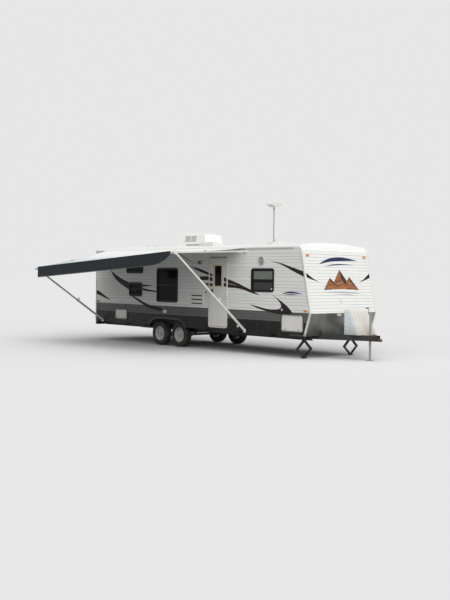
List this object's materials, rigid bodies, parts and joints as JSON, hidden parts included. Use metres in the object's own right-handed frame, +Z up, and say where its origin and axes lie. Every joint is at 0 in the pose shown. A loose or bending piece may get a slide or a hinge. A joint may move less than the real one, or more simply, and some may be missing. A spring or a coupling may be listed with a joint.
{
  "type": "travel caravan",
  "caption": "White ribbed travel caravan with a raked front, black and grey skirt bands, swoosh stripes, an open side awning, tandem wheels and a coupling tongue with its jack down",
  "frame": {"origin": "centre of the towing ball in the coupler, 480 mm above the ground", "axes": "+X forward along the tongue, +Y to the left of travel, +Z up"},
  "size_m": [9.941, 4.7929, 3.854],
  "materials": {
    "chassis_black": "satin black paint over steel",
    "coupler_steel": "black pressed steel with worn edges",
    "floor_board": "plywood deck with a dark underside",
    "tank_plastic": "black moulded plastic",
    "jack_zinc": "zinc plated, dull",
    "cover_plastic": "cream moulded plastic, weathered",
    "wall_siding": "ribbed siding, white above a grey band and a black band",
    "roof_skin": "white membrane and smooth front cap",
    "stone_guard_alloy": "bright sheet with a raised pattern",
    "trim_alloy": "white painted mouldings",
    "window_frame_black": "black painted frames",
    "window_glass": "dark tinted glass",
    "ac_plastic": "white moulded shroud",
    "roof_plastic": "white moulded plastic",
    "vent_plastic": "white moulded plastic",
    "arch_plastic": "dark grey moulding",
    "amber_lens": "amber lens",
    "red_lens": "red lens",
    "fitting_plastic": "dark and white moulded fittings",
    "awning_cloth": "coated cloth, pale above, with a dark grey edge",
    "awning_alloy": "white painted extrusions",
    "door_panel": "smooth white leaf with a cream window surround",
    "hatch_panel": "smooth white leaf",
    "mast_alloy": "bare tube",
    "tyre": "black rubber",
    "rim_steel": "white painted pressed steel",
    "stabiliser_black": "black painted steel"
  },
  "bodies": {
    "chassis": {"main_rails": "chassis_black", "cross_members": "chassis_black", "tongue_rails": "chassis_black", "coupler": "coupler_steel", "axle_sets": "chassis_black", "rear_bumper": "chassis_black", "floor_deck": "floor_board", "holding_tanks": "tank_plastic", "jack_tube": "jack_zinc", "gas_cover": "cover_plastic", "right_wall": "wall_siding", "left_wall": "wall_siding", "front_wall": "wall_siding", "rear_wall": "wall_siding", "roof": "roof_skin", "stone_guard": "stone_guard_alloy", "edge_trim": "trim_alloy", "window_frames": "window_frame_black", "window_panes": "window_glass", "air_conditioner": "ac_plastic", "roof_fittings": "roof_plastic", "fridge_vent": "vent_plastic", "wheel_arch_trims": "arch_plastic", "marker_lamps": "amber_lens", "tail_lamps": "red_lens", "side_fittings": "fitting_plastic", "awning_rail": "trim_alloy", "awning_fabric": "awning_cloth", "awning_roller": "awning_alloy", "awning_arms": "awning_alloy"},
    "wheel_front_right": {"tyre_front_right": "tyre", "rim_front_right": "rim_steel"},
    "wheel_front_left": {"tyre_front_left": "tyre", "rim_front_left": "rim_steel"},
    "wheel_rear_right": {"tyre_rear_right": "tyre", "rim_rear_right": "rim_steel"},
    "wheel_rear_left": {"tyre_rear_left": "tyre", "rim_rear_left": "rim_steel"},
    "entry_door": {"entry_door": "door_panel", "entry_door_pane": "window_glass"},
    "hatch_front_right": {"hatch_front_right": "hatch_panel"},
    "hatch_front_left": {"hatch_front_left": "hatch_panel"},
    "hatch_rear_right": {"hatch_rear_right": "hatch_panel"},
    "jack_leg": {"jack_leg": "jack_zinc"},
    "antenna_mast": {"antenna_mast": "mast_alloy"},
    "antenna_head": {"antenna_head": "roof_plastic"},
    "stabiliser_right_upper_a": {"stabiliser_right_upper_a": "stabiliser_black"},
    "stabiliser_right_lower_a": {"stabiliser_right_lower_a": "stabiliser_black"},
    "stabiliser_right_upper_b": {"stabiliser_right_upper_b": "stabiliser_black"},
    "stabiliser_right_lower_b": {"stabiliser_right_lower_b": "stabiliser_black"},
    "stabiliser_right_foot": {"stabiliser_right_foot": "stabiliser_black"},
    "stabiliser_left_upper_a": {"stabiliser_left_upper_a": "stabiliser_black"},
    "stabiliser_left_lower_a": {"stabiliser_left_lower_a": "stabiliser_black"},
    "stabiliser_left_upper_b": {"stabiliser_left_upper_b": "stabiliser_black"},
    "stabiliser_left_lower_b": {"stabiliser_left_lower_b": "stabiliser_black"},
    "stabiliser_left_foot": {"stabiliser_left_foot": "stabiliser_black"}
  },
  "joints": [
    {"name": "wheel_front_right_spin", "type": "hinge", "parent": "chassis", "child": "wheel_front_right", "pos_m": [-5.931, -1.05, -0.15], "axis": [0, 1, 0], "continuous": true},
    {"name": "wheel_front_left_spin", "type": "hinge", "parent": "chassis", "child": "wheel_front_left", "pos_m": [-5.931, 1.05, -0.15], "axis": [0, 1, 0], "continuous": true},
    {"name": "wheel_rear_right_spin", "type": "hinge", "parent": "chassis", "child": "wheel_rear_right", "pos_m": [-6.769, -1.05, -0.15], "axis": [0, 1, 0], "continuous": true},
    {"name": "wheel_rear_left_spin", "type": "hinge", "parent": "chassis", "child": "wheel_rear_left", "pos_m": [-6.769, 1.05, -0.15], "axis": [0, 1, 0], "continuous": true},
    {"name": "entry_door_hinge", "type": "hinge", "parent": "chassis", "child": "entry_door", "pos_m": [-3.951, -1.242, 1.04], "axis": [0, 0, 1], "range_deg": [0, 165]},
    {"name": "hatch_front_right_hinge", "type": "hinge", "parent": "chassis", "child": "hatch_front_right", "pos_m": [-1.665, -1.238, 0.562], "axis": [-1, 0, 0], "range_deg": [0, 120]},
    {"name": "hatch_front_left_hinge", "type": "hinge", "parent": "chassis", "child": "hatch_front_left", "pos_m": [-1.665, 1.238, 0.562], "axis": [1, 0, 0], "range_deg": [0, 120]},
    {"name": "hatch_rear_right_hinge", "type": "hinge", "parent": "chassis", "child": "hatch_rear_right", "pos_m": [-8.465, -1.238, 0.464], "axis": [-1, 0, 0], "range_deg": [0, 120]},
    {"name": "jack_slide", "type": "slide", "parent": "chassis", "child": "jack_leg", "axis": [0, 0, 1], "range_m": [0, 0.3]},
    {"name": "mast_fold", "type": "hinge", "parent": "chassis", "child": "antenna_mast", "pos_m": [-3.51, 0, 2.41], "axis": [0, -1, 0], "range_deg": [0, 88]},
    {"name": "head_level", "type": "hinge", "parent": "antenna_mast", "child": "antenna_head", "pos_m": [-3.51, 0, 3.236], "axis": [0, 1, 0], "range_deg": [0, 88]},
    {"name": "stabiliser_right_upper_a_fold", "type": "hinge", "parent": "chassis", "child": "stabiliser_right_upper_a", "pos_m": [-1.6, -0.885, -0.069], "axis": [-1, 0, 0], "range_deg": [0, 32]},
    {"name": "stabiliser_right_lower_a_fold", "type": "hinge", "parent": "stabiliser_right_upper_a", "child": "stabiliser_right_lower_a", "pos_m": [-1.6, -1.10409, -0.259], "axis": [1, 0, 0], "range_deg": [0, 64]},
    {"name": "stabiliser_right_upper_b_fold", "type": "hinge", "parent": "chassis", "child": "stabiliser_right_upper_b", "pos_m": [-1.6, -0.835, -0.069], "axis": [1, 0, 0], "range_deg": [0, 32]},
    {"name": "stabiliser_right_lower_b_fold", "type": "hinge", "parent": "stabiliser_right_upper_b", "child": "stabiliser_right_lower_b", "pos_m": [-1.6, -0.61591, -0.259], "axis": [-1, 0, 0], "range_deg": [0, 64]},
    {"name": "stabiliser_right_foot_level", "type": "hinge", "parent": "stabiliser_right_lower_a", "child": "stabiliser_right_foot", "pos_m": [-1.6, -0.885, -0.449], "axis": [-1, 0, 0], "range_deg": [0, 32]},
    {"name": "stabiliser_left_upper_a_fold", "type": "hinge", "parent": "chassis", "child": "stabiliser_left_upper_a", "pos_m": [-1.6, 0.835, -0.069], "axis": [-1, 0, 0], "range_deg": [0, 32]},
    {"name": "stabiliser_left_lower_a_fold", "type": "hinge", "parent": "stabiliser_left_upper_a", "child": "stabiliser_left_lower_a", "pos_m": [-1.6, 0.61591, -0.259], "axis": [1, 0, 0], "range_deg": [0, 64]},
    {"name": "stabiliser_left_upper_b_fold", "type": "hinge", "parent": "chassis", "child": "stabiliser_left_upper_b", "pos_m": [-1.6, 0.885, -0.069], "axis": [1, 0, 0], "range_deg": [0, 32]},
    {"name": "stabiliser_left_lower_b_fold", "type": "hinge", "parent": "stabiliser_left_upper_b", "child": "stabiliser_left_lower_b", "pos_m": [-1.6, 1.10409, -0.259], "axis": [-1, 0, 0], "range_deg": [0, 64]},
    {"name": "stabiliser_left_foot_level", "type": "hinge", "parent": "stabiliser_left_lower_a", "child": "stabiliser_left_foot", "pos_m": [-1.6, 0.835, -0.449], "axis": [-1, 0, 0], "range_deg": [0, 32]}
  ],
  "couplings": [
    {"joint": "head_level", "follows": "mast_fold", "ratio": 1},
    {"joint": "stabiliser_right_lower_a_fold", "follows": "stabiliser_right_upper_a_fold", "ratio": 2},
    {"joint": "stabiliser_right_upper_b_fold", "follows": "stabiliser_right_upper_a_fold", "ratio": 1},
    {"joint": "stabiliser_right_lower_b_fold", "follows": "stabiliser_right_upper_a_fold", "ratio": 2},
    {"joint": "stabiliser_right_foot_level", "follows": "stabiliser_right_upper_a_fold", "ratio": 1},
    {"joint": "stabiliser_left_lower_a_fold", "follows": "stabiliser_left_upper_a_fold", "ratio": 2},
    {"joint": "stabiliser_left_upper_b_fold", "follows": "stabiliser_left_upper_a_fold", "ratio": 1},
    {"joint": "stabiliser_left_lower_b_fold", "follows": "stabiliser_left_upper_a_fold", "ratio": 2},
    {"joint": "stabiliser_left_foot_level", "follows": "stabiliser_left_upper_a_fold", "ratio": 1}
  ]
}
